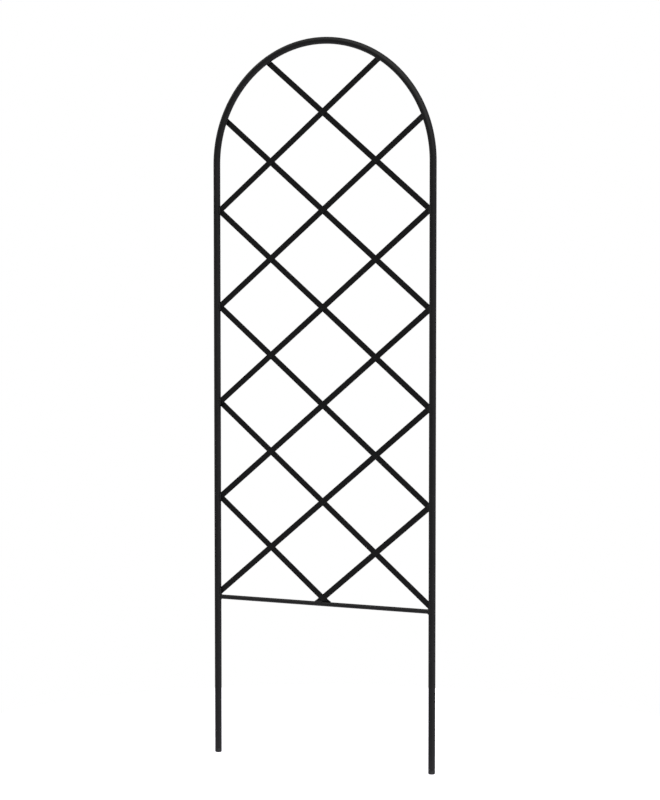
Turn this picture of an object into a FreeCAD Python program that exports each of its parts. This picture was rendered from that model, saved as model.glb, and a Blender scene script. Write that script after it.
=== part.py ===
import FreeCAD, Part
import math
import os

# A flat garden trellis panel with a round-arched top: one bent tube hoop whose ends are the two
# legs, a round rail between the legs, and a lattice of twelve flat strips in two layers.
# The origin is midway between the leg tips, at their lowest point. +Z is up, X runs across the
# panel and -Y is its front.

# Driving dimensions, in millimetres
UPRIGHT_SPACING = 487.0  # between the centre lines of the two uprights
TUBE_DIAMETER = 14.0
TUBE_WALL = 1.0
RAIL_HEIGHT = 325.5  # from the leg tips to the rail's axis
RAIL_DIAMETER = 9.0
SPRING_HEIGHT = 1216.0  # where the straight uprights run into the half-round arch
STRIP_WIDTH = 12.0
STRIP_THICKNESS = 2.0
STRIP_COUNT = 6  # in each of the two layers
DIAMOND_HEIGHT = 196.0  # pitch of the lattice, measured up the panel
LATTICE_WIDTH = 474.0  # between the points near each upright where the two layers' centre lines meet
LOWEST_CROSSING = 11.5  # the lowest crossing, above the rail's axis

# Moulded plugs that close the leg ends
PLUG_HEAD_HEIGHT = 9.0
PLUG_EDGE_RADIUS = 2.5
PLUG_SHANK_DIAMETER = 10.4
PLUG_SHANK_LENGTH = 17.0
PLUG_RIB_COUNT = 3
PLUG_RIB_HEIGHT = 1.6
PLUG_RIB_PITCH = 4.5
PLUG_RIB_CLEARANCE = 0.05  # on the radius, to the tube's bore

# Weld beads
BEAD_RADIUS = 2.2
BEAD_PROUD = 0.4  # how far a bead's axis stands outside the strip's face
BEAD_END_GAP = 3.2  # from the end of the strip's foot to the end of the bead's axis
RAIL_WELD_RADIUS = 6.4  # of the round bead that wraps each end of the rail
RAIL_WELD_INSET = 0.8  # how far that bead's centre lies inside the upright's wall
WELD_BAND_MARGIN = 0.7  # how far the tube's band behind that bead runs past it, up and down

# Derived sizes
TUBE_RADIUS = TUBE_DIAMETER / 2
BORE_RADIUS = TUBE_RADIUS - TUBE_WALL
RAIL_RADIUS = RAIL_DIAMETER / 2
ARCH_RADIUS = UPRIGHT_SPACING / 2  # of the tube's centre line
INNER_RADIUS = ARCH_RADIUS - TUBE_RADIUS  # of the opening inside the hoop
RAIL_TOP = RAIL_HEIGHT + RAIL_RADIUS
LEG_WALL_TOP = RAIL_HEIGHT - RAIL_WELD_RADIUS - WELD_BAND_MARGIN
WELD_BAND_TOP = RAIL_HEIGHT + RAIL_WELD_RADIUS + WELD_BAND_MARGIN
TOP_CROSSING_HEIGHT = RAIL_HEIGHT + LOWEST_CROSSING + (STRIP_COUNT - 1) * DIAMOND_HEIGHT
STRIP_SLOPE = DIAMOND_HEIGHT / (LATTICE_WIDTH / 2)
STRIP_ANGLE = math.atan(STRIP_SLOPE)

X_AXIS = FreeCAD.Vector(1, 0, 0)
Y_AXIS = FreeCAD.Vector(0, 1, 0)
Z_AXIS = FreeCAD.Vector(0, 0, 1)

LEFT, RIGHT = -1, 1


def at(x, y, z):
    return FreeCAD.Vector(x, y, z)


def save(name, shape):
    if not shape.isValid():
        raise ValueError(name + " is not a valid shape")
    shape.exportStep(os.path.join("parts", name + ".step"))
    print(name, len(shape.Solids), "solid(s),", round(shape.Volume), "mm3")


def fused(shapes):
    return shapes[0].multiFuse(shapes[1:])


def largest_solid(shape):
    return max(shape.Solids, key=lambda solid: solid.Volume)


def turned_half(shape):
    """The shape turned half a turn about the panel's upright centre line."""
    turned = shape.copy()
    turned.rotate(at(0, 0, 0), Z_AXIS, 180)
    return turned


# The hoop


def hoop_rod(radius, bottom):
    """A solid round bar along the hoop's centre line, from both leg ends over the arch."""
    uprights = [
        Part.makeCylinder(radius, SPRING_HEIGHT - bottom, at(side * ARCH_RADIUS, 0, bottom))
        for side in (LEFT, RIGHT)
    ]
    ring = Part.makeTorus(ARCH_RADIUS, radius, at(0, 0, SPRING_HEIGHT), Y_AXIS)
    side_length = UPRIGHT_SPACING + 2 * TUBE_DIAMETER
    upper_half = Part.makeBox(
        side_length,
        TUBE_DIAMETER * 2,
        side_length,
        at(-side_length / 2, -TUBE_DIAMETER, SPRING_HEIGHT),
    )
    return fused([ring.common(upper_half)] + uprights).removeSplitter()


def upright_length(side, bottom, top):
    return Part.makeCylinder(TUBE_RADIUS, top - bottom, at(side * ARCH_RADIUS, 0, bottom))


def make_hoop_tube():
    """The bent tube. The short band inside the rail's weld is a free-form face, so that the leg
    below it, which goes into the ground, is a plain round wall of its own."""
    pieces = [hoop_rod(TUBE_RADIUS, WELD_BAND_TOP)]
    for side in (LEFT, RIGHT):
        pieces.append(upright_length(side, LEG_WALL_TOP, WELD_BAND_TOP).toNurbs())
        pieces.append(upright_length(side, PLUG_HEAD_HEIGHT, LEG_WALL_TOP))
    return fused(pieces).cut(hoop_rod(BORE_RADIUS, PLUG_HEAD_HEIGHT))


def make_leg_plug(side):
    """A moulded plug: a head flush with the tube, and a ribbed shank pressed into the bore."""
    centre = side * ARCH_RADIUS
    head = Part.makeCylinder(TUBE_RADIUS, PLUG_HEAD_HEIGHT, at(centre, 0, 0))
    bottom_rim = [edge for edge in head.Edges if edge.BoundBox.ZMax < PLUG_HEAD_HEIGHT / 2]
    head = head.makeFillet(PLUG_EDGE_RADIUS, bottom_rim)
    shank = Part.makeCylinder(PLUG_SHANK_DIAMETER / 2, PLUG_SHANK_LENGTH, at(centre, 0, PLUG_HEAD_HEIGHT))
    ribs = [
        Part.makeCylinder(
            BORE_RADIUS - PLUG_RIB_CLEARANCE,
            PLUG_RIB_HEIGHT,
            at(centre, 0, PLUG_HEAD_HEIGHT + PLUG_RIB_PITCH * (number + 0.5)),
        )
        for number in range(PLUG_RIB_COUNT)
    ]
    return fused([head, shank] + ribs).removeSplitter()


# The rail


def make_cross_rail(hoop_space):
    rail = Part.makeCylinder(RAIL_RADIUS, 2 * ARCH_RADIUS, at(-ARCH_RADIUS, 0, RAIL_HEIGHT), X_AXIS)
    return rail.cut(hoop_space)


# The lattice


def crossing_height(number):
    """Height at which strip number 0, 1, 2... passes the panel's centre line."""
    return TOP_CROSSING_HEIGHT - number * DIAMOND_HEIGHT


def frame_area():
    """A slab filling the frame, out to the centre lines of the hoop and the rail."""
    bottom_left = at(-ARCH_RADIUS, -TUBE_RADIUS, RAIL_HEIGHT)
    bottom_right = at(ARCH_RADIUS, -TUBE_RADIUS, RAIL_HEIGHT)
    spring_left = at(-ARCH_RADIUS, -TUBE_RADIUS, SPRING_HEIGHT)
    spring_right = at(ARCH_RADIUS, -TUBE_RADIUS, SPRING_HEIGHT)
    crown = at(0, -TUBE_RADIUS, SPRING_HEIGHT + ARCH_RADIUS)
    outline = Part.Wire(
        [
            Part.LineSegment(bottom_left, bottom_right).toShape(),
            Part.LineSegment(bottom_right, spring_right).toShape(),
            Part.Arc(spring_right, crown, spring_left).toShape(),
            Part.LineSegment(spring_left, bottom_left).toShape(),
        ]
    )
    return Part.Face(outline).extrude(at(0, TUBE_DIAMETER, 0))


def make_rising_strip(number, area, frame_space):
    """One flat strip of the front layer, rising to the right, cut to length at the frame."""
    length = 4 * ARCH_RADIUS
    corner = at(-length / 2, -STRIP_THICKNESS, -STRIP_WIDTH / 2)
    strip = Part.makeBox(length, STRIP_THICKNESS, STRIP_WIDTH, corner)
    strip.rotate(at(0, 0, 0), Y_AXIS, -math.degrees(STRIP_ANGLE))
    strip.translate(at(0, 0, crossing_height(number)))
    return strip.common(area).cut(frame_space)


# The welds


def strip_foot(number, side):
    """Where a rising strip's centre line meets the frame's inside, and the frame's direction."""
    centre = crossing_height(number)
    slope = side * STRIP_SLOPE  # rise per millimetre away from the panel's centre line
    height_at_upright = centre + slope * INNER_RADIUS
    if height_at_upright > SPRING_HEIGHT:
        above_spring = centre - SPRING_HEIGHT
        a = 1 + slope**2
        b = 2 * slope * above_spring
        c = above_spring**2 - INNER_RADIUS**2
        out = (-b + math.sqrt(b**2 - 4 * a * c)) / (2 * a)
        height = centre + slope * out
        tangent = at(-(height - SPRING_HEIGHT), 0, side * out).normalize()
        return at(side * out, 0, height), tangent
    if height_at_upright < RAIL_TOP:
        out = (RAIL_TOP - centre) / slope
        return at(side * out, 0, RAIL_TOP), X_AXIS
    return at(side * INNER_RADIUS, 0, height_at_upright), Z_AXIS


def make_bead(number, side, depth):
    """A round-ended bead laid across a rising strip's foot, with its axis at a depth in Y."""
    foot, tangent = strip_foot(number, side)
    strip_direction = at(math.cos(STRIP_ANGLE), 0, math.sin(STRIP_ANGLE))
    half_foot = STRIP_WIDTH / 2 / strip_direction.cross(tangent).Length
    half_length = half_foot - BEAD_END_GAP
    middle = foot + at(0, depth, 0)
    start = middle - tangent * half_length
    end = middle + tangent * half_length
    run = Part.makeCylinder(BEAD_RADIUS, 2 * half_length, start, tangent)
    return fused([run, Part.makeSphere(BEAD_RADIUS, start), Part.makeSphere(BEAD_RADIUS, end)])


def bead_depths(number, side):
    """Depths in Y of the beads at a rising strip's foot. Every foot has one on its front face. A foot
    on the arch, where the other layer isn't in the way, has one on its back face too."""
    depths = [-STRIP_THICKNESS - BEAD_PROUD]
    foot, _ = strip_foot(number, side)
    if foot.z > SPRING_HEIGHT:
        depths.append(BEAD_PROUD)
    return depths


def make_front_strip_welds(rising_strips, frame_space, rail_welds):
    """The beads at both feet of every rising strip, as separate solids."""
    beads = []
    for number, strip in enumerate(rising_strips):
        for side in (LEFT, RIGHT):
            for depth in bead_depths(number, side):
                bead = make_bead(number, side, depth)
                for neighbour in [strip, frame_space] + rail_welds.Solids:
                    bead = largest_solid(bead.cut(neighbour))
                beads.append(bead)
    return Part.makeCompound(beads)


def make_rail_welds(frame_space, strips):
    """The round bead that wraps each end of the rail."""
    welds = []
    for side in (LEFT, RIGHT):
        centre = at(side * (INNER_RADIUS + RAIL_WELD_INSET), 0, RAIL_HEIGHT)
        weld = Part.makeSphere(RAIL_WELD_RADIUS, centre)
        for neighbour in [frame_space] + strips:
            weld = largest_solid(weld.cut(neighbour))
        welds.append(weld)
    return Part.makeCompound(welds)


os.makedirs("parts", exist_ok=True)

hoop_space = hoop_rod(TUBE_RADIUS, 0)
cross_rail = make_cross_rail(hoop_space)
frame_space = fused([hoop_space, cross_rail])
area = frame_area()
rising_strips = [make_rising_strip(number, area, frame_space) for number in range(STRIP_COUNT)]
falling_strips = [turned_half(strip) for strip in rising_strips]
rail_welds = make_rail_welds(frame_space, rising_strips + falling_strips)
front_strip_welds = make_front_strip_welds(rising_strips, frame_space, rail_welds)

save("hoop_tube", make_hoop_tube())
save("cross_rail", cross_rail)
for index in range(STRIP_COUNT):
    save("rising_strip_" + str(index + 1), rising_strips[index])
    save("falling_strip_" + str(index + 1), falling_strips[index])
save("leg_plug_left", make_leg_plug(LEFT))
save("leg_plug_right", make_leg_plug(RIGHT))
save("rail_welds", rail_welds)
save("front_strip_welds", front_strip_welds)
save("back_strip_welds", turned_half(front_strip_welds))
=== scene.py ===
import math
import random

import bmesh
import bpy
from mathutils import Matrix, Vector


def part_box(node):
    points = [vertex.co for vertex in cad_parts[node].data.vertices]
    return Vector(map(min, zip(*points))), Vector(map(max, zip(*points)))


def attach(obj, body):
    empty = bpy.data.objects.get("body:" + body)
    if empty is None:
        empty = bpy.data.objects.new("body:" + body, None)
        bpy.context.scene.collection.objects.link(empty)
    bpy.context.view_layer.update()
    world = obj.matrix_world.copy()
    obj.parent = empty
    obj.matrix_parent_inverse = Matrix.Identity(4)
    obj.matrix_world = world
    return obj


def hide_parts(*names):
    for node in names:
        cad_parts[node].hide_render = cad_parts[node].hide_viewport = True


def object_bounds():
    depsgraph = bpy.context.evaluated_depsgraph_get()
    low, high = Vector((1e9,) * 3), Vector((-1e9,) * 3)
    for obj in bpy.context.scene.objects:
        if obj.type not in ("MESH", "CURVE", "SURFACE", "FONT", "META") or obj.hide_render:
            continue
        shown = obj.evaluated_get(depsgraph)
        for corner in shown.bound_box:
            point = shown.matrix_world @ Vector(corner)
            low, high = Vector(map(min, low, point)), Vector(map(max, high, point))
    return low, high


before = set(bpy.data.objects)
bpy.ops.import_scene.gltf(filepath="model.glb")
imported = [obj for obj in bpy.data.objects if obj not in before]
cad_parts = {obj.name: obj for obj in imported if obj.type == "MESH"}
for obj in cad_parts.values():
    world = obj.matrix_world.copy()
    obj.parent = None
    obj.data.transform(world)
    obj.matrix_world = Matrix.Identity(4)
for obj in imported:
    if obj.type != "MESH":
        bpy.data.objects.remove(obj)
cad_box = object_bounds()

# ---------------------------------------------------------------- sizes, in metres

MM = 0.001

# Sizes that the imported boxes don't give
TUBE_WALL = 1.0 * MM
STRIP_WIDTH = 12.0 * MM
LATTICE_WIDTH = 474.0 * MM  # between the points where the two layers' centre lines meet
STRIP_EDGE_RADIUS = 0.55 * MM
TUBE_END_BEVEL = 0.25 * MM
EMBED = 0.35 * MM  # how far a coped end reaches into the tube, so that no gap shows
STRIP_COUNT = 6  # in each of the two layers
LEFT, RIGHT = -1, 1
FRONT, BACK = -1, 1
RISING, FALLING = 1, -1  # from left to right, seen from the front

# Spot welds at the crossings, pressed into both outer faces
SPOT_RADIUS = 2.6 * MM
SPOT_DEPTH = 0.28 * MM
SPOT_RIM = 0.07 * MM
SPOT_FLOOR = 0.7  # as shares of the spot's radius: out to where its floor is flat,
SPOT_REACH = 1.5  # and out to where its rim ends

# Weld beads
BEAD_RADIUS = 2.2 * MM
BEAD_PROUD = 0.4 * MM  # how far a bead's axis stands outside the strip's face
BEAD_END_GAP = 3.2 * MM  # from the end of the strip's foot to the end of the bead's axis
BEAD_DRIFT = 0.25 * MM  # how far a bead wanders to either side
BEAD_SWELL = 0.05  # how much its radius varies, as a share
BEAD_SPREAD = 1.12  # a strip's bead is this many times as wide as deep
RIPPLE_PITCH = 1.5 * MM
RIPPLE_HEIGHT = 0.16 * MM
RAIL_BEAD_RADIUS = 1.7 * MM
RAIL_BEAD_SPREAD = 1.15  # along the rail

# Leg plugs
PLUG_EDGE_RADIUS = 2.5 * MM
PLUG_NECK_DEPTH = 0.25 * MM
PLUG_NECK_HEIGHT = 0.3 * MM  # straight part of the groove, just below the tube's end
PLUG_NECK_SLOPE = 0.25 * MM  # height of the rounding from the head into the groove
PLUG_GATE_RADIUS = 1.3 * MM
PLUG_GATE_DEPTH = 0.3 * MM
PLUG_SHANK_GAP = 0.8 * MM  # between the shank and the tube's bore
PLUG_SHANK_CHAMFER = 0.8 * MM
PLUG_RIB_COUNT = 3
PLUG_RIB_HEIGHT = 1.6 * MM
PLUG_RIB_PITCH = 4.5 * MM
PLUG_RIB_GAP = 0.06 * MM  # between the ribs and the bore
PLUG_RIB_LEAD = 0.5 * MM  # height of a rib's lower slope
PLUG_RIB_BACK = 0.3 * MM  # height of its upper slope

# Floor and camera
FLOOR_RADIUS = 0.9
CAMERA_PLACE = Vector((2.2955, -4.4765, 1.0507))
CAMERA_AZIMUTH = math.radians(26.98)
CAMERA_TILT = math.radians(3.54)
LENS_MM = 112.5
SENSOR_MM = 36.0
CLIP_END = 100.0

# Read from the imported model
hoop_low, hoop_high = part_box("hoop_tube")
TUBE_RADIUS = hoop_high.y
ARCH_RADIUS = hoop_high.x - TUBE_RADIUS
INNER_RADIUS = ARCH_RADIUS - TUBE_RADIUS
SPRING_HEIGHT = hoop_high.z - hoop_high.x
TUBE_END = hoop_low.z

rail_low, rail_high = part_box("cross_rail")
RAIL_HEIGHT = (rail_low.z + rail_high.z) / 2
RAIL_RADIUS = (rail_high.z - rail_low.z) / 2

strip_3_low, strip_3_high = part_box("rising_strip_3")
strip_4_low, strip_4_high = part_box("rising_strip_4")
STRIP_THICKNESS = strip_3_high.y - strip_3_low.y
THIRD_CROSSING = (strip_3_low.z + strip_3_high.z) / 2
DIAMOND_HEIGHT = THIRD_CROSSING - (strip_4_low.z + strip_4_high.z) / 2
STRIP_SLOPE = DIAMOND_HEIGHT / (LATTICE_WIDTH / 2)
STRIP_ANGLE = math.atan(STRIP_SLOPE)


def crossing_height(number):
    """Height at which strip 0, 1, 2... of either layer passes the panel's centre line."""
    return THIRD_CROSSING + (2 - number) * DIAMOND_HEIGHT


# ---------------------------------------------------------------- mesh helpers


def new_piece(name, bm, material):
    """Turns a bmesh into a smooth-shaded object with one material, in the scene."""
    bmesh.ops.recalc_face_normals(bm, faces=bm.faces)
    mesh = bpy.data.meshes.new(name)
    bm.to_mesh(mesh)
    bm.free()
    mesh.polygons.foreach_set("use_smooth", [True] * len(mesh.polygons))
    mesh.materials.append(material)
    piece = bpy.data.objects.new(name, mesh)
    bpy.context.scene.collection.objects.link(piece)
    return piece


def add_rings(bm, rings):
    """Adds rings of points to the mesh and joins each to the next. Returns the rings' vertices."""
    made = [[bm.verts.new(point) for point in ring] for ring in rings]
    for ring, following in zip(made, made[1:]):
        join_rings(bm, ring, following)
    return made


def join_rings(bm, ring, following):
    """Adds the band of faces between two rings of vertices."""
    count = len(ring)
    for i in range(count):
        j = (i + 1) % count
        bm.faces.new((ring[i], ring[j], following[j], following[i]))


def close_end(bm, ring):
    """Fills the last ring with a fan of triangles about its middle."""
    middle = sum((vertex.co for vertex in ring), Vector()) / len(ring)
    hub = bm.verts.new(middle)
    for i, vertex in enumerate(ring):
        bm.faces.new((vertex, ring[(i + 1) % len(ring)], hub))


def circle_angles(count):
    """Angles of evenly spaced points round a circle."""
    return [2 * math.pi * i / count for i in range(count)]


def frame_gap(point):
    """Distance from a point to the nearest surface of the hoop or the rail."""
    if point.z > SPRING_HEIGHT:
        from_centre_line = math.hypot(point.x, point.z - SPRING_HEIGHT) - ARCH_RADIUS
    else:
        from_centre_line = abs(point.x) - ARCH_RADIUS
    hoop_gap = math.hypot(from_centre_line, point.y) - TUBE_RADIUS
    rail_gap = math.hypot(point.z - RAIL_HEIGHT, point.y) - RAIL_RADIUS
    return min(hoop_gap, rail_gap)


def reach(start, direction):
    """How far a line runs from start before it is just inside the hoop or the rail."""
    close_enough = 0.001 * MM
    most_steps = 200
    travelled = 0.0
    for _ in range(most_steps):
        gap = frame_gap(start + direction * travelled) + EMBED
        if gap < close_enough:
            break
        travelled += gap
    return travelled


# ---------------------------------------------------------------- the hoop


def hoop_stations(leg_step, arch_steps):
    """Centre points and outward directions along the hoop, from the left leg to the right."""
    leg_steps = math.ceil((SPRING_HEIGHT - TUBE_END) / leg_step)
    heights = [TUBE_END + (SPRING_HEIGHT - TUBE_END) * i / leg_steps for i in range(leg_steps + 1)]
    stations = [(Vector((-ARCH_RADIUS, 0, z)), Vector((-1, 0, 0))) for z in heights]
    for i in range(1, arch_steps):
        angle = math.pi * (1 - i / arch_steps)
        outward = Vector((math.cos(angle), 0, math.sin(angle)))
        stations.append((outward * ARCH_RADIUS + Vector((0, 0, SPRING_HEIGHT)), outward))
    stations += [(Vector((ARCH_RADIUS, 0, z)), Vector((1, 0, 0))) for z in reversed(heights)]
    return stations


def make_hoop(material):
    """The hollow bent tube: its outer skin, then its bore on the way back, closed at the ends."""
    sides = 56
    stations = hoop_stations(leg_step=40 * MM, arch_steps=144)
    outward_y = Vector((0, 1, 0))

    def ring(station, radius, lift=0.0):
        centre, outward = station
        shifted = centre + Vector((0, 0, lift))
        return [
            shifted + (outward * math.cos(a) + outward_y * math.sin(a)) * radius
            for a in circle_angles(sides)
        ]

    rim = TUBE_RADIUS - TUBE_END_BEVEL
    outer = [ring(stations[0], rim), ring(stations[0], TUBE_RADIUS, TUBE_END_BEVEL)]
    outer += [ring(station, TUBE_RADIUS) for station in stations[1:-1]]
    outer += [ring(stations[-1], TUBE_RADIUS, TUBE_END_BEVEL), ring(stations[-1], rim)]
    bore = [ring(station, TUBE_RADIUS - TUBE_WALL) for station in reversed(stations)]
    bm = bmesh.new()
    made = add_rings(bm, outer + bore)
    join_rings(bm, made[-1], made[0])
    return new_piece("bent_hoop", bm, material)


# ---------------------------------------------------------------- the rail


def make_rail(material):
    """The round rail, its ends cut to the curve of the uprights."""
    sides = 40
    steps = 24
    end_gap = 1.5 * MM  # between the outermost straight ring and the upright's wall
    straight_half = INNER_RADIUS - end_gap
    profile = [(math.cos(a) * RAIL_RADIUS, math.sin(a) * RAIL_RADIUS) for a in circle_angles(sides)]

    def reach_of_hoop(y):
        return ARCH_RADIUS - math.sqrt(TUBE_RADIUS**2 - y**2) + EMBED

    def end_ring(side):
        return [Vector((side * reach_of_hoop(y), y, RAIL_HEIGHT + z)) for y, z in profile]

    rings = [end_ring(LEFT)]
    for i in range(steps + 1):
        x = straight_half * (2 * i / steps - 1)
        rings.append([Vector((x, y, RAIL_HEIGHT + z)) for y, z in profile])
    rings.append(end_ring(RIGHT))
    bm = bmesh.new()
    made = add_rings(bm, rings)
    close_end(bm, made[0])
    close_end(bm, made[-1])
    return new_piece("lower_rail", bm, material)


# ---------------------------------------------------------------- the strips


def strip_profile():
    """Outline of a strip's section as (across, depth, edge): depth runs from 0 at the face that
    touches the other layer to the strip's thickness, and edge from 0 on the faces to 1 on the sides."""
    half_columns = 13
    corner_steps = 5
    flat = STRIP_WIDTH / 2 - STRIP_EDGE_RADIUS
    face = [flat * i / half_columns for i in range(half_columns)]
    right = [(across, STRIP_THICKNESS, 0.0) for across in face]
    for depth, first in ((STRIP_THICKNESS - STRIP_EDGE_RADIUS, math.pi / 2), (STRIP_EDGE_RADIUS, 0.0)):
        for i in range(corner_steps + 1):
            angle = first - math.pi / 2 * i / corner_steps
            across = flat + STRIP_EDGE_RADIUS * math.cos(angle)
            right.append((across, depth + STRIP_EDGE_RADIUS * math.sin(angle), math.cos(angle)))
    right += [(across, 0.0, 0.0) for across in reversed(face)]
    left = [(-across, depth, edge) for across, depth, edge in reversed(right[1:-1])]
    return right + left


def spot_dent(distance):
    """Depth of a spot weld's round dent at a distance from its middle: flat floor, soft wall, rim."""
    t = distance / SPOT_RADIUS
    if t < SPOT_FLOOR:
        return -SPOT_DEPTH
    if t < 1.0:
        up_the_wall = (t - SPOT_FLOOR) / (1.0 - SPOT_FLOOR)
        return -SPOT_DEPTH * (0.5 + 0.5 * math.cos(math.pi * up_the_wall))
    if t < SPOT_REACH:
        return SPOT_RIM * math.sin(math.pi * (t - 1.0) / (SPOT_REACH - 1.0))
    return 0.0


def spot_places(number, direction, along):
    """Where a strip's spot welds lie, as distances from its middle."""
    places = []
    for other in (number - 1, number, number + 1):
        if 0 <= other < STRIP_COUNT:
            x = direction * (crossing_height(other) - crossing_height(number)) / 2 / STRIP_SLOPE
            places.append(x / along.x)
    return places


def strip_stations(first, last, spots):
    """Distances along a strip at which its mesh has a ring: closer together at the spot welds."""
    coarse, fine = 12 * MM, 0.4 * MM
    stations = {round(first, 6), round(last, 6)}
    for i in range(1, math.ceil((last - first) / coarse)):
        stations.add(round(first + coarse * i, 6))
    fine_steps = math.ceil(SPOT_RADIUS * SPOT_REACH / fine)
    for spot in spots:
        low, high = spot - (fine_steps + 1) * fine, spot + (fine_steps + 1) * fine
        stations = {s for s in stations if s in (first, last) or not low < s < high}
        for i in range(-fine_steps, fine_steps + 1):
            stations.add(round(spot + fine * i, 6))
    return sorted(s for s in stations if first <= s <= last)


def make_strip(number, direction, layer, material):
    """One flat strip, with coped ends and its spot welds pressed in."""
    middle = Vector((0, 0, crossing_height(number)))
    along = Vector((math.cos(STRIP_ANGLE), 0, direction * math.sin(STRIP_ANGLE)))
    across = Vector((-along.z, 0, along.x))
    outward = Vector((0, layer, 0))
    profile = strip_profile()
    spots = spot_places(number, direction, along)

    ends = {}
    for side in (LEFT, RIGHT):
        heading = along * side
        ends[side] = [
            side * reach(middle + across * a + outward * d, heading) for a, d, _ in profile
        ]
    end_margin = 1.0 * MM
    first = max(ends[LEFT]) + end_margin
    last = min(ends[RIGHT]) - end_margin

    def place(s, a, d):
        return middle + along * s + across * a + outward * d

    def section(s):
        points = []
        for a, d, edge in profile:
            dent = 0.0
            on_face = edge < 0.01
            if on_face and d > STRIP_THICKNESS / 2:
                dent = sum(spot_dent(math.hypot(s - spot, a)) for spot in spots)
            points.append(place(s, a, d + dent))
        return points

    rings = [[place(s, a, d) for s, (a, d, _) in zip(ends[LEFT], profile)]]
    rings += [section(s) for s in strip_stations(first, last, spots)]
    rings.append([place(s, a, d) for s, (a, d, _) in zip(ends[RIGHT], profile)])
    bm = bmesh.new()
    wear = bm.verts.layers.float.new("edge_wear")
    made = add_rings(bm, rings)
    for ring in made:
        for vertex, (_, _, edge) in zip(ring, profile):
            vertex[wear] = edge
    close_end(bm, made[0])
    close_end(bm, made[-1])
    word = "rising" if direction == RISING else "falling"
    return new_piece(f"{word}_lath_{number + 1}", bm, material)


# ---------------------------------------------------------------- the welds


def strip_foot(number, direction, side):
    """Where a strip's centre line meets the frame's inside, and the frame's direction there."""
    centre = crossing_height(number)
    slope = direction * side * STRIP_SLOPE
    height_at_upright = centre + slope * INNER_RADIUS
    if height_at_upright > SPRING_HEIGHT:
        above_spring = centre - SPRING_HEIGHT
        a = 1 + slope**2
        b = 2 * slope * above_spring
        c = above_spring**2 - INNER_RADIUS**2
        out = (-b + math.sqrt(b**2 - 4 * a * c)) / (2 * a)
        height = centre + slope * out
        tangent = Vector((-(height - SPRING_HEIGHT), 0, side * out)).normalized()
        return Vector((side * out, 0, height)), tangent
    rail_top = RAIL_HEIGHT + RAIL_RADIUS
    if height_at_upright < rail_top:
        return Vector((side * (rail_top - centre) / slope, 0, rail_top)), Vector((1, 0, 0))
    return Vector((side * INNER_RADIUS, 0, height_at_upright)), Vector((0, 0, 1))


def ripple(distance, phase):
    """The scalloped surface that a weld pool leaves: one crest for each step of the torch."""
    mean_level = 0.6
    t = (distance / RIPPLE_PITCH + phase) % 1.0
    return RIPPLE_HEIGHT * (math.sqrt(t) - mean_level)


def add_bead(bm, start, end, radius, rng):
    """A round-ended, rippled bead between two points."""
    sides = 22
    run = end - start
    length = run.length
    along = run.normalized()
    depth = Vector((0, 1, 0))
    across = along.cross(depth).normalized()
    phase = rng.random()
    swell_phase, drift_phase, _ = [3 * rng.uniform(-1, 1) for _ in range(3)]
    step = 0.25 * MM
    count = math.ceil((length + 2 * radius) / step)
    rings = []
    for i in range(1, count):
        s = -radius + (length + 2 * radius) * i / count
        over = max(-s, s - length, 0.0)
        swell = 1 + BEAD_SWELL * math.sin(swell_phase + 5 * s / length)
        size = math.sqrt(max(radius**2 - over**2, 0.0)) / radius
        r = (radius * swell + ripple(s, phase)) * size
        drift = across * (BEAD_DRIFT * math.sin(drift_phase + 4 * s / length))
        centre = start + along * s + drift
        rings.append(
            [
                centre + (across * (BEAD_SPREAD * math.cos(a)) + depth * math.sin(a)) * r
                for a in circle_angles(sides)
            ]
        )
    made = add_rings(bm, rings)
    close_end(bm, made[0])
    close_end(bm, made[-1])


def make_strip_welds(direction, layer, material):
    """The beads at both feet of every strip in one layer: on its outer face, and on the arch, where
    the other layer isn't in the way, on its inner face too."""
    rng = random.Random(31 + layer)
    bm = bmesh.new()
    strip_direction = Vector((math.cos(STRIP_ANGLE), 0, direction * math.sin(STRIP_ANGLE)))
    for number in range(STRIP_COUNT):
        for side in (LEFT, RIGHT):
            foot, tangent = strip_foot(number, direction, side)
            half_foot = STRIP_WIDTH / 2 / strip_direction.cross(tangent).length
            half_length = half_foot - BEAD_END_GAP
            depths = [STRIP_THICKNESS + BEAD_PROUD]
            if foot.z > SPRING_HEIGHT:
                depths.append(-BEAD_PROUD)
            for depth in depths:
                middle = foot + Vector((0, layer * depth, 0))
                start = middle - tangent * half_length
                add_bead(bm, start, middle + tangent * half_length, BEAD_RADIUS, rng)
    word = "front" if layer == FRONT else "back"
    return new_piece(f"{word}_beads", bm, material)


def make_rail_welds(material):
    """The rippled bead that runs round each end of the rail, on the curve where it meets the tube."""
    around, sides = 120, 18
    bm = bmesh.new()
    rng = random.Random(77)
    for side in (LEFT, RIGHT):
        phase = rng.random()
        rings = []
        for angle in circle_angles(around):
            y = RAIL_RADIUS * math.cos(angle)
            z = RAIL_RADIUS * math.sin(angle)
            x = ARCH_RADIUS - math.sqrt(TUBE_RADIUS**2 - y**2)
            centre = Vector((side * x, y, RAIL_HEIGHT + z))
            radial = Vector((0, math.cos(angle), math.sin(angle)))
            inward = Vector((-side * RAIL_BEAD_SPREAD, 0, 0))
            r = RAIL_BEAD_RADIUS + ripple(angle * RAIL_RADIUS, phase)
            rings.append(
                [centre + (radial * math.cos(a) + inward * math.sin(a)) * r for a in circle_angles(sides)]
            )
        made = add_rings(bm, rings)
        join_rings(bm, made[-1], made[0])
    return new_piece("rail_beads", bm, material)


# ---------------------------------------------------------------- the leg plugs


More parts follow.
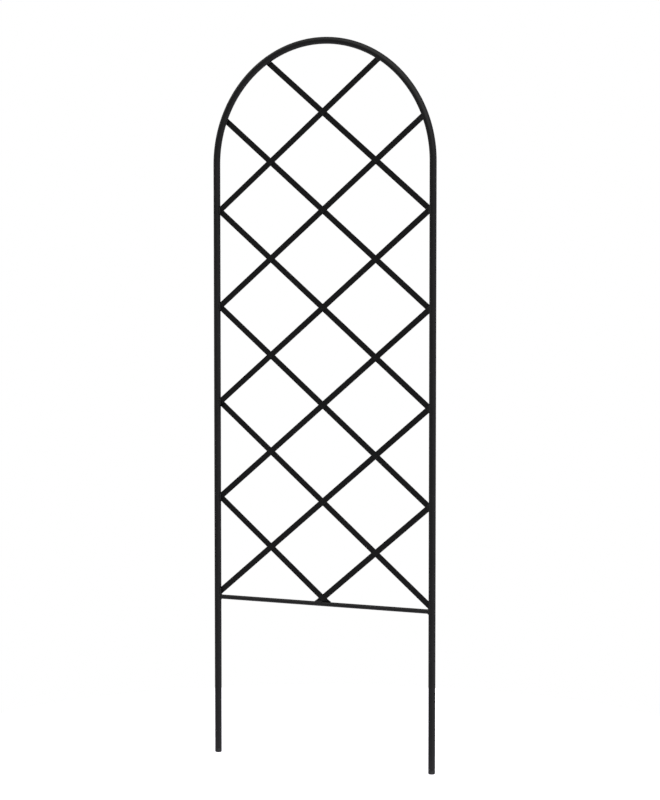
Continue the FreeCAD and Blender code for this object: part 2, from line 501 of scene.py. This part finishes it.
def plug_outline(height):
    """A plug's profile as (radius, height above the ground), from its underside to the shank's top."""
    head = TUBE_END
    bore = TUBE_RADIUS - TUBE_WALL
    shank = bore - PLUG_SHANK_GAP
    innermost = 0.3 * MM
    gate_inset, gate_flare = 0.2 * MM, 0.15 * MM
    outline = [
        (innermost, PLUG_GATE_DEPTH),
        (PLUG_GATE_RADIUS - gate_inset, PLUG_GATE_DEPTH),
        (PLUG_GATE_RADIUS, PLUG_GATE_DEPTH / 2),
        (PLUG_GATE_RADIUS + gate_flare, 0.0),
    ]
    rim_steps = 10
    rim_centre = TUBE_RADIUS - PLUG_EDGE_RADIUS
    for i in range(rim_steps + 1):
        angle = math.pi / 2 * i / rim_steps
        out = rim_centre + PLUG_EDGE_RADIUS * math.sin(angle)
        outline.append((out, PLUG_EDGE_RADIUS * (1 - math.cos(angle))))
    neck_bottom = head - PLUG_NECK_HEIGHT
    straight_top = head - 1.0 * MM
    shoulder_inset, shoulder_drop = 0.08 * MM, 0.1 * MM
    outline += [
        (TUBE_RADIUS, straight_top),
        (TUBE_RADIUS, neck_bottom - PLUG_NECK_SLOPE),
        (TUBE_RADIUS - shoulder_inset, neck_bottom - shoulder_drop),
        (TUBE_RADIUS - PLUG_NECK_DEPTH, neck_bottom),
        (TUBE_RADIUS - PLUG_NECK_DEPTH, head),
        (shank, head),
    ]
    for number in range(PLUG_RIB_COUNT):
        z = head + PLUG_RIB_PITCH * (number + 0.5)
        outline += [
            (shank, z),
            (bore - PLUG_RIB_GAP, z + PLUG_RIB_LEAD),
            (bore - PLUG_RIB_GAP, z + PLUG_RIB_HEIGHT - PLUG_RIB_BACK),
            (shank, z + PLUG_RIB_HEIGHT),
        ]
    return outline + [(shank, height - PLUG_SHANK_CHAMFER), (shank - PLUG_SHANK_CHAMFER, height)]


def make_plug(side, material):
    """A moulded plug turned about the leg's axis: gate mark, rounded rim, neck, ribbed shank."""
    word = "left" if side == LEFT else "right"
    low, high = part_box(f"leg_plug_{word}")
    sides = 56
    centre = Vector((side * ARCH_RADIUS, 0, low.z))
    rings = [
        [centre + Vector((r * math.cos(a), r * math.sin(a), z)) for a in circle_angles(sides)]
        for r, z in plug_outline(high.z)
    ]
    bm = bmesh.new()
    made = add_rings(bm, rings)
    close_end(bm, made[0])
    close_end(bm, made[-1])
    return new_piece(f"{word}_foot_plug", bm, material)


# ---------------------------------------------------------------- materials


class Nodes:
    """A short way to add and join shader nodes."""

    def __init__(self, name):
        self.material = bpy.data.materials.new(name)
        self.material.use_nodes = True
        self.tree = self.material.node_tree
        self.shader = self.tree.nodes["Principled BSDF"]
        self.place = self.add("ShaderNodeTexCoord").outputs["Object"]

    def add(self, kind, **settings):
        node = self.tree.nodes.new(kind)
        for key, value in settings.items():
            setattr(node, key, value)
        return node

    def join(self, source, target):
        self.tree.links.new(source, target)

    def noise(self, size, detail=2.0, roughness=0.5):
        """Noise whose lumps are about size metres across."""
        node = self.add("ShaderNodeTexNoise")
        node.inputs["Scale"].default_value = 1 / size
        node.inputs["Detail"].default_value = detail
        node.inputs["Roughness"].default_value = roughness
        self.join(self.place, node.inputs["Vector"])
        return node.outputs["Fac"]

    def remap(self, value, low, high, to_low, to_high):
        node = self.add("ShaderNodeMapRange")
        for key, number in (("From Min", low), ("From Max", high), ("To Min", to_low), ("To Max", to_high)):
            node.inputs[key].default_value = number
        self.join(value, node.inputs["Value"])
        return node.outputs["Result"]

    def math(self, operation, first, second):
        node = self.add("ShaderNodeMath", operation=operation)
        for socket, value in zip(node.inputs, (first, second)):
            if isinstance(value, (int, float)):
                socket.default_value = value
            else:
                self.join(value, socket)
        return node.outputs[0]

    def mix_colour(self, factor, first, second):
        node = self.add("ShaderNodeMix", data_type="RGBA")
        self.join(factor, node.inputs["Factor"])
        for socket, value in ((node.inputs[6], first), (node.inputs[7], second)):
            if isinstance(value, tuple):
                socket.default_value = (*value, 1.0)
            else:
                self.join(value, socket)
        return node.outputs[2]

    def bump(self, height, strength, distance, onto=None):
        node = self.add("ShaderNodeBump")
        node.inputs["Strength"].default_value = strength
        node.inputs["Distance"].default_value = distance
        self.join(height, node.inputs["Height"])
        if onto is not None:
            self.join(onto, node.inputs["Normal"])
        return node.outputs["Normal"]


SPECK_COLOUR = (0.034, 0.034, 0.034)
WORN_COLOUR = (0.045, 0.045, 0.046)
TUBE_COLOURS = (0.0080, 0.0079, 0.0084), (0.0105, 0.0103, 0.0110)
# Painted shade: the strips' colours are the tube's powder coat made darker, standing in for how dark the
# flat strips look under these lights
SHADED_STRIP_COLOURS = (0.0046, 0.0045, 0.0049), (0.0064, 0.0062, 0.0068)
PLASTIC_COLOURS = (0.014, 0.014, 0.015), (0.021, 0.021, 0.022)
SCUFF_COLOUR = (0.05, 0.05, 0.048)
WHITE = (1.0, 1.0, 1.0, 1.0)


def powder_coat(name, colours, roughness, gloss, worn_edges=False):
    """Satin black powder coat: slow mottling, orange peel, fine grit, and thin coat on edges."""
    n = Nodes(name)
    mottle = n.remap(n.noise(90 * MM, 3.0), 0.35, 0.65, 0.0, 1.0)
    colour = n.mix_colour(mottle, *colours)
    speck = n.remap(n.noise(2.2 * MM, 4.0, 0.7), 0.66, 0.74, 0.0, 0.5)
    colour = n.mix_colour(speck, colour, SPECK_COLOUR)
    rough = n.remap(n.noise(24 * MM, 3.0), 0.3, 0.7, roughness - 0.05, roughness + 0.05)
    if worn_edges:
        edge = n.add("ShaderNodeAttribute", attribute_name="edge_wear").outputs["Fac"]
        patchy = n.remap(n.noise(9 * MM, 5.0, 0.65), 0.45, 0.62, 0.0, 0.55)
        worn = n.math("MULTIPLY", edge, patchy)
        colour = n.mix_colour(worn, colour, WORN_COLOUR)
        rough = n.math("SUBTRACT", rough, n.math("MULTIPLY", worn, 0.12))
    orange_peel = n.bump(n.noise(1.6 * MM, 2.0), strength=0.3, distance=0.06 * MM)
    grit = n.noise(0.35 * MM, 3.0, 0.6)
    n.join(colour, n.shader.inputs["Base Color"])
    n.join(rough, n.shader.inputs["Roughness"])
    n.join(n.bump(grit, strength=0.21, distance=0.02 * MM, onto=orange_peel), n.shader.inputs["Normal"])
    n.shader.inputs["IOR"].default_value = 1.5
    n.shader.inputs["Specular IOR Level"].default_value = gloss
    return n.material


def moulded_plastic(name):
    """Black polyethylene with a fine spark-eroded grain and a few scuffs."""
    n = Nodes(name)
    cloud = n.remap(n.noise(6 * MM, 3.0), 0.35, 0.65, 0.0, 1.0)
    colour = n.mix_colour(cloud, *PLASTIC_COLOURS)
    scuff = n.remap(n.noise(1.3 * MM, 5.0, 0.75), 0.6, 0.7, 0.0, 0.45)
    colour = n.mix_colour(scuff, colour, SCUFF_COLOUR)
    rough = n.remap(n.noise(3 * MM, 3.0), 0.3, 0.7, 0.5, 0.66)
    grain = n.bump(n.noise(0.4 * MM, 4.0, 0.6), strength=0.5, distance=0.03 * MM)
    n.join(colour, n.shader.inputs["Base Color"])
    n.join(rough, n.shader.inputs["Roughness"])
    n.join(grain, n.shader.inputs["Normal"])
    n.shader.inputs["IOR"].default_value = 1.48
    return n.material


def pale_floor(name):
    """A matt near-white floor that glows a little, so that it is an even white and lights the legs."""
    n = Nodes(name)
    n.shader.inputs["Base Color"].default_value = (0.93, 0.93, 0.93, 1.0)
    n.shader.inputs["Roughness"].default_value = 0.9
    n.shader.inputs["Specular IOR Level"].default_value = 0.1
    n.shader.inputs["Emission Color"].default_value = (0.94, 0.92, 1.0, 1.0)
    n.shader.inputs["Emission Strength"].default_value = 1.15
    return n.material


# ---------------------------------------------------------------- build the panel


def settle(piece, node):
    """Fixes a finished piece to the panel, in place of its CAD node."""
    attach(piece, "root")
    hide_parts(node)


tube_coat = powder_coat("tube_coat", TUBE_COLOURS, roughness=0.40, gloss=0.36)
# The strips get a darker copy of the tube's coat: painted shade, not a different finish
shaded_strip_coat = powder_coat("shaded_strip_coat", SHADED_STRIP_COLOURS, roughness=0.42, gloss=0.3, worn_edges=True)
bead_coat = powder_coat("bead_coat", TUBE_COLOURS, roughness=0.36, gloss=0.36)
plug_plastic = moulded_plastic("plug_plastic")

settle(make_hoop(tube_coat), "hoop_tube")
settle(make_rail(tube_coat), "cross_rail")
for index in range(STRIP_COUNT):
    settle(make_strip(index, RISING, FRONT, shaded_strip_coat), f"rising_strip_{index + 1}")
    settle(make_strip(index, FALLING, BACK, shaded_strip_coat), f"falling_strip_{index + 1}")
settle(make_strip_welds(RISING, FRONT, bead_coat), "front_strip_welds")
settle(make_strip_welds(FALLING, BACK, bead_coat), "back_strip_welds")
settle(make_rail_welds(bead_coat), "rail_welds")
settle(make_plug(LEFT, plug_plastic), "leg_plug_left")
settle(make_plug(RIGHT, plug_plastic), "leg_plug_right")

# ---------------------------------------------------------------- floor, light and camera


def make_floor():
    """A round floor. Reflections and shadows leave it out, so that it doesn't block the low lights."""
    height = cad_box[0].z
    sides = 96
    bm = bmesh.new()
    rim = [
        bm.verts.new((FLOOR_RADIUS * math.cos(a), FLOOR_RADIUS * math.sin(a), height))
        for a in circle_angles(sides)
    ]
    bm.faces.new(rim)
    floor = new_piece("studio_floor", bm, pale_floor("pale_floor"))
    floor.visible_glossy = False
    floor.visible_shadow = False


def set_world(seen, lighting):
    """A plain backdrop: white where it is seen, dimmer where it lights the panel."""
    world = bpy.data.worlds.new("studio")
    bpy.context.scene.world = world
    world.use_nodes = True
    tree = world.node_tree
    background = tree.nodes["Background"]
    path = tree.nodes.new("ShaderNodeLightPath")
    level = tree.nodes.new("ShaderNodeMapRange")
    level.inputs["To Min"].default_value = lighting
    level.inputs["To Max"].default_value = seen
    tree.links.new(path.outputs["Is Camera Ray"], level.inputs["Value"])
    tree.links.new(level.outputs["Result"], background.inputs["Strength"])
    background.inputs["Color"].default_value = WHITE


def wide_light(name, comes_from, spread_deg, strength, colour):
    """Very soft light from one side, as from a diffuser that fills spread_deg of the view."""
    light = bpy.data.lights.new(name, "SUN")
    light.angle = math.radians(spread_deg)
    light.energy = strength
    light.color = colour
    lamp = bpy.data.objects.new(name, light)
    lamp.rotation_mode = "QUATERNION"
    lamp.rotation_quaternion = Vector(comes_from).to_track_quat("Z", "Y")
    bpy.context.scene.collection.objects.link(lamp)


def make_camera():
    """The camera, level across, to the right of the panel and tilted down a little."""
    data = bpy.data.cameras.new("camera")
    data.lens = LENS_MM
    data.sensor_width = SENSOR_MM
    data.clip_end = CLIP_END
    camera = bpy.data.objects.new("camera", data)
    camera.location = CAMERA_PLACE
    camera.rotation_euler = (math.pi / 2 - CAMERA_TILT, 0.0, CAMERA_AZIMUTH)
    bpy.context.scene.collection.objects.link(camera)
    bpy.context.scene.camera = camera


make_floor()
set_world(seen=1.0, lighting=0.2)
wide_light("high_front", (0.25, -0.5, 0.83), 90.0, 1.4, (1.0, 1.0, 0.95))
wide_light("side_right", (1.0, 0.0, 0.1), 100.0, 0.55, (0.92, 0.9, 1.0))
wide_light("side_left", (-0.9, -0.12, 0.48), 60.0, 0.4, (1.0, 1.0, 0.97))
wide_light("floor_bounce", (0.0, 0.0, -1.0), 120.0, 0.6, (0.94, 0.9, 1.0))
make_camera()
bpy.context.scene.view_settings.view_transform = "Standard"
